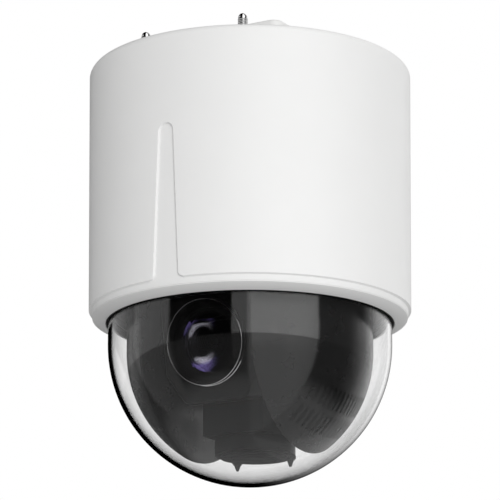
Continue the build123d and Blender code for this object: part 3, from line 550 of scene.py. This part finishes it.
def cable_box():
    """The white box over the roof's opening: soft corners, a parting line and a round hole for the cable.
    """
    low, high = span("cable_box")
    length, width, height = high.x, high.y, high.z
    outer = [(length, width, 6), (-length, width, 6), (-length, -width, 6), (length, -width, 6)]
    shell = rounded(outer, 8)
    bm = bmesh.new()
    # Each level is how far the wall is set in, and its height: the foot, the parting line, the top edge.
    levels = [(1.0, 0.0), (0.0, 0.4), (0.0, height - 5.6), (0.5, height - 5.1), (0.0, height - 4.6)]
    for angle in (0, 22, 45, 67, 90):
        turn = math.radians(angle)
        inset = BOX_TOP_EDGE * (1 - math.cos(turn))
        levels.append((inset, height - BOX_TOP_EDGE * (1 - math.sin(turn))))
    rows = []
    for inset, level in levels:
        along, across = 1 - inset / length, 1 - inset / width
        rows.append([bm.verts.new((x * along, y * across, level)) for x, y in shell])
    bm.faces.new(rows[-1])
    bm.faces.new(list(reversed(rows[0])))
    for lower, upper in zip(rows, rows[1:]):
        for step in range(len(shell)):
            nearby = (step + 1) % len(shell)
            bm.faces.new([lower[step], lower[nearby], upper[nearby], upper[step]])
    box = make_piece("cable_box_shell", bm, "housing", "white_plastic", ["cable_box"])
    along, across, ceiling = length - BOX_WALL, width - BOX_WALL, height - BOX_WALL
    inner = [(along, across, 4), (-along, across, 4), (-along, -across, 4), (along, -across, 4)]
    hollow = prism(rounded(inner), -1, ceiling)
    hole = [(0, ceiling - 1), (CABLE_HOLE, ceiling - 1), (CABLE_HOLE, height + 1), (0, height + 1)]
    cut_away(box, [hollow, rod(0, 0, hole, 64)])


def ceiling_studs():
    """Threaded bright studs with domed ends, standing on hexagon nuts under the roof."""
    low, high = span("ceiling_studs")
    bm = bmesh.new()
    radius, pitch, depth = 3.0, 1.0, 0.28
    tip = high.z
    nut_top = low.z + STUD_NUT_HEIGHT
    for x, y in STUDS:
        outline = [(0.0, nut_top), (STUD_NECK, nut_top), (STUD_NECK, 0.0), (radius - depth, 0.0)]
        level = 0.2
        while level < tip - 4.0:
            outline += [(radius - depth, level), (radius, level + pitch / 2)]
            level += pitch
        outline += [(radius - depth, level)]
        outline += arc((0.0, tip - radius * 0.9), radius * 0.9, 0, 90, 8)[:-1]
        outline += [(0.0, tip)]
        lathe(outline, 32, axis_frame=Matrix.Translation((x, y, 0)), bm=bm)
        prism([(x + dx, y + dy) for dx, dy in arc((0, 0), STUD_NUT, 0, 300, 5)], low.z, nut_top, bm=bm)
    make_piece("ceiling_stud_set", bm, "housing", "chrome", ["ceiling_studs"], sharp=50.0)


# ---------------------------------------------------------------- ring, gasket and dome


def trim_ring():
    """The ring that closes the cover: a sloping face with soft edges and a spigot inside the bore."""
    top, lip = ring_low.z + 4.2, ring_low.z
    outline = rounded(
        [
            (RING_OUTER, top, 0.2),
            (RING_OUTER, top - 0.75, 0.35),
            (RING_LIP, lip, 0.5),
            (RING_LIP, RING_LEDGE, 0.2),
            (RING_SPIGOT_INNER, RING_LEDGE, 0),
            (RING_SPIGOT_INNER, ring_high.z, 0.3),
            (RING_SPIGOT_OUTER, ring_high.z, 0.3),
            (RING_SPIGOT_OUTER, top, 0),
        ],
        4,
    )
    make_piece("trim_ring_turned", lathe(outline, 256), "housing", "trim_white", ["trim_ring"])


def dome_gasket():
    """The black seal between the ring's lip and the dome, with a rolled lower edge."""
    foot = gasket_low.z
    outline = rounded(
        [
            (FLANGE_RADIUS, RING_LEDGE, 0),
            (RING_LIP - 0.1, RING_LEDGE, 0),
            (RING_LIP - 0.1, foot, 0.45),
            (DOME_RADIUS + 0.12, foot, 0.45),
            (DOME_RADIUS + 0.12, gasket_high.z, 0),
            (FLANGE_RADIUS, gasket_high.z, 0.2),
        ],
        4,
    )
    make_piece("dome_gasket_turned", lathe(outline, 256), "housing", "black_rubber", ["dome_gasket"])


def dome_bubble():
    """The clear dome: a hemisphere with a short straight skirt and the flange that is clamped."""
    inner = DOME_RADIUS - DOME_WALL
    low_flange = dome_high.z - FLANGE_THICKNESS
    steps = 72
    outline = [(0.0, DOME_CENTRE - DOME_RADIUS)]
    outline += arc((0, DOME_CENTRE), DOME_RADIUS, -90, 0, steps)[1:]
    outline += steps_along((DOME_RADIUS, DOME_CENTRE), (DOME_RADIUS, low_flange - 0.8), 5)
    outline += arc((DOME_RADIUS + 0.8, low_flange - 0.8), 0.8, 180, 90, 4)
    outline += [(FLANGE_RADIUS - 0.3, low_flange), (FLANGE_RADIUS, low_flange + 0.3)]
    outline += [(FLANGE_RADIUS, dome_high.z - 0.3), (FLANGE_RADIUS - 0.3, dome_high.z)]
    outline += [(inner, dome_high.z)]
    outline += steps_along((inner, dome_high.z), (inner, DOME_CENTRE), 5)
    outline += arc((0, DOME_CENTRE), inner, 0, -90, steps)[1:-1]
    outline += [(0.0, DOME_CENTRE - inner)]
    bm = lathe(outline, 288)
    make_piece("dome_bubble_clear", bm, "housing", "clear_dome", ["dome_bubble"], sharp=40.0)


def steps_along(start, end, count):
    """Points after the start, up to the end, in even steps."""
    run = [(end[0] - start[0]) / count, (end[1] - start[1]) / count]
    return [(start[0] + run[0] * step, start[1] + run[1] * step) for step in range(1, count + 1)]


# ---------------------------------------------------------------- lens


def lens_ring():
    """The bright ring round the front glass."""
    outline = rounded(
        [
            (BEZEL_RADIUS, RING_BACK, 0),
            (RING_RADIUS, RING_BACK, 0),
            (RING_RADIUS, RING_FRONT - 3.2, 0.1),
            (RING_RADIUS - 0.3, RING_FRONT - 2.9, 0.1),
            (RING_RADIUS - 0.3, RING_FRONT, 0.4),
            (BEZEL_RADIUS, RING_FRONT, 0.1),
        ],
        4,
    )
    bm = lathe(outline, 160, axis_frame=lens_frame)
    make_piece("lens_ring_turned", bm, "camera_head", "silver_ring", ["lens_ring"])


def front_glass():
    """The crowned front glass, a thin coated shell over the open barrel."""
    rim, crown, thickness = GLASS_RIM, GLASS_CROWN, 1.2
    ball = (GLASS_RADIUS**2 + crown**2) / (2 * crown)
    middle = rim + crown - ball
    reach = math.degrees(math.asin(GLASS_RADIUS / ball))
    outer = arc((0, middle), ball, 90 - reach, 90, 16)
    outer[-1] = (0.0, rim + crown)
    inner = [(r, h - thickness) for r, h in reversed(outer)]
    inner = [(0.0, rim + crown - thickness)] + inner[1:]
    bm = lathe(outer + inner, 128, axis_frame=lens_frame)
    make_piece("front_glass", bm, "camera_head", "lens_glass", ["front_element"])


def element_shell(name, look, ball, reach, apex):
    """One coated surface of the inner lens, crowned about the lens axis, as a thin shell."""
    span_angle = math.degrees(math.asin(reach / ball))
    front = arc((0, 0), ball, 90 - span_angle, 90, 14)
    front[-1] = (0.0, ball)
    front = [(radius, apex + height - ball) for radius, height in front]
    back = [(radius, height - 0.4) for radius, height in reversed(front)]
    bm = lathe(front + back, 96, axis_frame=lens_frame)
    make_piece(name, bm, "camera_head", "lens_glass", look=look)


def lens_baffle():
    """The black lip round the front glass and the ribbed cone from it to the inner lens."""
    wide, narrow = GLASS_RADIUS + 0.1, INNER_LENS_RADIUS
    front, back, ribs = GLASS_RIM - 1.4, RING_BACK + 0.2, 7
    lip = BEZEL_RADIUS - 0.05
    foot = back - 0.2
    outline = [(lip, foot), (lip, RING_FRONT - 0.5), (wide, GLASS_RIM + 0.6), (wide, front)]
    for rib in range(1, ribs + 1):
        share = rib / ribs
        radius = wide + (narrow - wide) * share
        level = front - (front - back) * (share - 0.5 / ribs)
        outline += [(radius, level), (radius, front - (front - back) * share)]
    outline += [(narrow, foot)]
    bm = lathe(outline, 128, axis_frame=lens_frame)
    make_piece("lens_baffle", bm, "camera_head", "black_plastic", look="lens_black")


def lens_iris():
    """The black disc behind the inner lenses, with shrinking rings round the pupil."""
    levels, step, front, floor = 6, 0.8, 47.6, 42.0
    outer, pupil, rim = 9.6, 3.2, INNER_LENS_RADIUS - 0.2
    outline = [(outer, floor + step), (outer, front - 0.6), (outer - 0.4, front)]
    for level in range(levels):
        radius = outer - 1.0 - step * level
        depth = front - step * level
        outline += [(radius, depth), (radius, depth - step)]
    outline += [(pupil, floor), (rim, floor), (rim, floor + step)]
    bm = lathe(outline, 96, axis_frame=lens_frame)
    make_piece("lens_iris", bm, "camera_head", "black_plastic", look="lens_black")


outer_cover()
cable_box()
ceiling_studs()
trim_ring()
dome_gasket()
dome_bubble()
lens_ring()
front_glass()
lens_baffle()
lens_iris()
element_shell("second_lens_front", "violet_glass", 95.0, INNER_LENS_RADIUS - 0.2, 50.0)
element_shell("second_lens_back", "pale_glass", 68.0, INNER_LENS_RADIUS - 0.4, 49.4)

# ---------------------------------------------------------------- camera

CAMERA_AZIMUTH = math.radians(30.3)
CAMERA_ELEVATION = math.radians(-15.0)
CAMERA_DISTANCE = 1.827
CAMERA_AIM = Vector((0.0, 0.0, -0.1091))
LENS_LENGTH = 222.0

towards_camera = Vector(
    (
        math.sin(CAMERA_AZIMUTH) * math.cos(CAMERA_ELEVATION),
        -math.cos(CAMERA_AZIMUTH) * math.cos(CAMERA_ELEVATION),
        math.sin(CAMERA_ELEVATION),
    )
)


def place_camera():
    """A long lens below the camera dome, at the front and a little to its right."""
    data = bpy.data.cameras.new("studio_camera")
    data.lens = LENS_LENGTH
    camera = bpy.data.objects.new("studio_camera", data)
    bpy.context.scene.collection.objects.link(camera)
    camera.location = CAMERA_AIM + towards_camera * CAMERA_DISTANCE
    camera.rotation_mode = "QUATERNION"
    camera.rotation_quaternion = (-towards_camera).to_track_quat("-Z", "Y")
    bpy.context.scene.camera = camera


# ---------------------------------------------------------------- studio

CEILING_HEIGHT = 2.6
facing = Vector((math.sin(CAMERA_AZIMUTH), -math.cos(CAMERA_AZIMUTH), 0.0))
rightward = Vector((math.cos(CAMERA_AZIMUTH), math.sin(CAMERA_AZIMUTH), 0.0))


def studio_floor():
    """A wide pale floor, a room's height below the ceiling."""
    bm = bmesh.new()
    half = 40.0
    bmesh.ops.create_grid(bm, x_segments=8, y_segments=8, size=half)
    mesh = bpy.data.meshes.new("studio_floor")
    bm.to_mesh(mesh)
    bm.free()
    floor = bpy.data.objects.new("studio_floor", mesh)
    bpy.context.scene.collection.objects.link(floor)
    floor.location.z = -CEILING_HEIGHT
    floor.visible_glossy = False
    floor.visible_transmission = False
    floor.data.materials.append(moulded("studio_paper", 0.82, 0.8, grain=40.0, depth=0.02, mottle=0.01))


def world_window(tree, value, low, high, soft):
    """1 between two limits and 0 outside them, with soft sides."""
    rise = {"Value": value, "From Min": low - soft, "From Max": low + soft}
    fall = {"Value": value, "From Min": high + soft, "From Max": high - soft}
    up = tree.add("ShaderNodeMapRange", rise, interpolation_type="SMOOTHSTEP").outputs[0]
    down = tree.add("ShaderNodeMapRange", fall, interpolation_type="SMOOTHSTEP").outputs[0]
    return tree.maths("MULTIPLY", up, down)


def mirrored_axis():
    """A direction a little to the left of the one a lens surface square to the axis shows the camera."""
    axis = lens_frame.to_3x3() @ Vector((0.0, 0.0, 1.0))
    mirrored = 2 * axis.dot(towards_camera) * axis - towards_camera
    return Matrix.Rotation(math.radians(-6.0), 3, "Z") @ mirrored.normalized()


def studio_world():
    """White behind the object, soft light on it, and panels of light that its glossy surfaces mirror.

    The three don't agree with each other: each kind of ray is given its own room.
    """
    world = bpy.data.worlds.new("studio")
    bpy.context.scene.world = world
    world.use_nodes = True
    world.node_tree.nodes.clear()
    tree = Nodes(world.node_tree)
    direction = tree.add("ShaderNodeTexCoord").outputs["Generated"]
    front = tree.dot(direction, facing)
    right = tree.dot(direction, rightward)
    azimuth = tree.maths("DEGREES", tree.maths("ARCTAN2", right, front))
    height = tree.dot(direction, (0.0, 0.0, 1.0))
    elevation = tree.maths("DEGREES", tree.maths("ARCSINE", height))
    # Each panel: where it starts and ends round the room, how soft its sides are, and its brightness
    # above and below the horizon line.
    panels = [
        (-1.6, 57.0, 2.0, 1.35, 0.5),
        (-14.7, -1.6, 1.0, 0.6, 0.16),
        (-150.0, -108.0, 4.0, 0.42, 0.14),
        (-108.0, -68.5, 1.5, 0.62, 0.3),
        (-68.5, -14.7, 1.0, 0.012, 0.09),
        (57.0, 115.0, 4.0, 0.08, 0.05),
    ]
    horizon = -3.0
    above = tree.add(
        "ShaderNodeMapRange",
        {"Value": elevation, "From Min": horizon - 0.6, "From Max": horizon + 0.6},
        interpolation_type="SMOOTHSTEP",
    ).outputs[0]
    behind = tree.add(
        "ShaderNodeMapRange",
        {"Value": elevation, "From Min": -16.0, "From Max": 6.0, "To Min": 0.5},
        interpolation_type="SMOOTHSTEP",
    ).outputs[0]
    mirrored = tree.maths("MULTIPLY", world_window(tree, azimuth, 115.0, 166.0, 13.0), behind)
    for start, end, soft, high_level, low_level in panels:
        share = world_window(tree, azimuth, start, end, soft)
        level = tree.maths("MULTIPLY_ADD", above, high_level - low_level, low_level)
        mirrored = tree.maths("MULTIPLY_ADD", share, level, mirrored)
    # The panels on the left stop short of the ceiling, which keeps the top of the lens ring dark.
    short = world_window(tree, elevation, -120.0, 34.0, 8.0)
    tall = world_window(tree, azimuth, -14.7, 200.0, 1.0)
    mirrored = tree.maths("MULTIPLY", mirrored, tree.maths("MAXIMUM", short, tall))
    # A ray that the inner lens mirrors has passed the front glass. Only such a ray sees two curved lamps,
    # above and below where the lens points, and it sees the rest of the room dimly.
    apart = tree.maths("DEGREES", tree.maths("ARCCOSINE", tree.dot(direction, mirrored_axis())))
    ring = world_window(tree, apart, 13.5, 18.5, 1.5)
    sector = world_window(tree, azimuth, -86.0, -60.0, 8.0)
    beside = tree.maths("SUBTRACT", 1.0, world_window(tree, elevation, -14.0, 4.0, 2.0))
    strength = tree.maths("MULTIPLY_ADD", above, -2.0, 5.0)
    shape = tree.maths("MULTIPLY", tree.maths("MULTIPLY", ring, sector), beside)
    lamps = tree.maths("MULTIPLY", shape, strength)
    path = tree.add("ShaderNodeLightPath")
    in_lens = tree.maths("GREATER_THAN", path.outputs["Transparent Depth"], 1.5)
    dimmed = tree.maths("MULTIPLY_ADD", in_lens, -0.95, 1.0)
    lamps = tree.maths("MULTIPLY", lamps, in_lens)
    underfoot = world_window(tree, elevation, -120.0, -35.0, 12.0)
    mirrored = tree.maths("MAXIMUM", mirrored, tree.maths("MULTIPLY", underfoot, 0.4))
    mirrored = tree.maths("MAXIMUM", tree.maths("MULTIPLY", mirrored, dimmed), lamps)
    side = math.radians(60.0)
    key = facing * math.cos(side) + rightward * math.sin(side)
    soft_light = tree.maths("MULTIPLY_ADD", tree.dot(direction, key), 0.2, 0.61, clamp=True)
    glossy = tree.maths("GREATER_THAN", path.outputs["Glossy Depth"], 0.5)
    passed = path.outputs["Is Transmission Ray"]
    through = tree.maths("SUBTRACT", passed, path.outputs["Diffuse Depth"], clamp=True)
    seen = tree.maths("MAXIMUM", path.outputs["Is Camera Ray"], through)
    seen = tree.maths("SUBTRACT", seen, glossy, clamp=True)
    light = tree.blend(glossy, soft_light, mirrored)
    colour = tree.blend(seen, light, rgb(1.0))
    background = tree.add("ShaderNodeBackground", {"Color": colour})
    output = tree.add("ShaderNodeOutputWorld")
    tree.tree.links.new(background.outputs[0], output.inputs["Surface"])


def softbox(name, azimuth, elevation, distance, size, power):
    """A square area light aimed at the object, which glossy surfaces don't mirror."""
    data = bpy.data.lights.new(name, "AREA")
    data.size = size
    data.energy = power
    lamp = bpy.data.objects.new(name, data)
    bpy.context.scene.collection.objects.link(lamp)
    turn, rise = math.radians(azimuth), math.radians(elevation)
    flat = facing * math.cos(turn) + rightward * math.sin(turn)
    aim = flat * math.cos(rise) + Vector((0, 0, math.sin(rise)))
    lamp.location = CAMERA_AIM + aim * distance
    lamp.rotation_mode = "QUATERNION"
    lamp.rotation_quaternion = aim.to_track_quat("Z", "Y")
    lamp.visible_glossy = False
    lamp.visible_transmission = False
    lamp.visible_camera = False


place_camera()
studio_floor()
studio_world()
softbox("key_softbox", 14.0, 0.0, 3.0, 1.0, 36.0)
bpy.context.scene.view_settings.view_transform = "Standard"
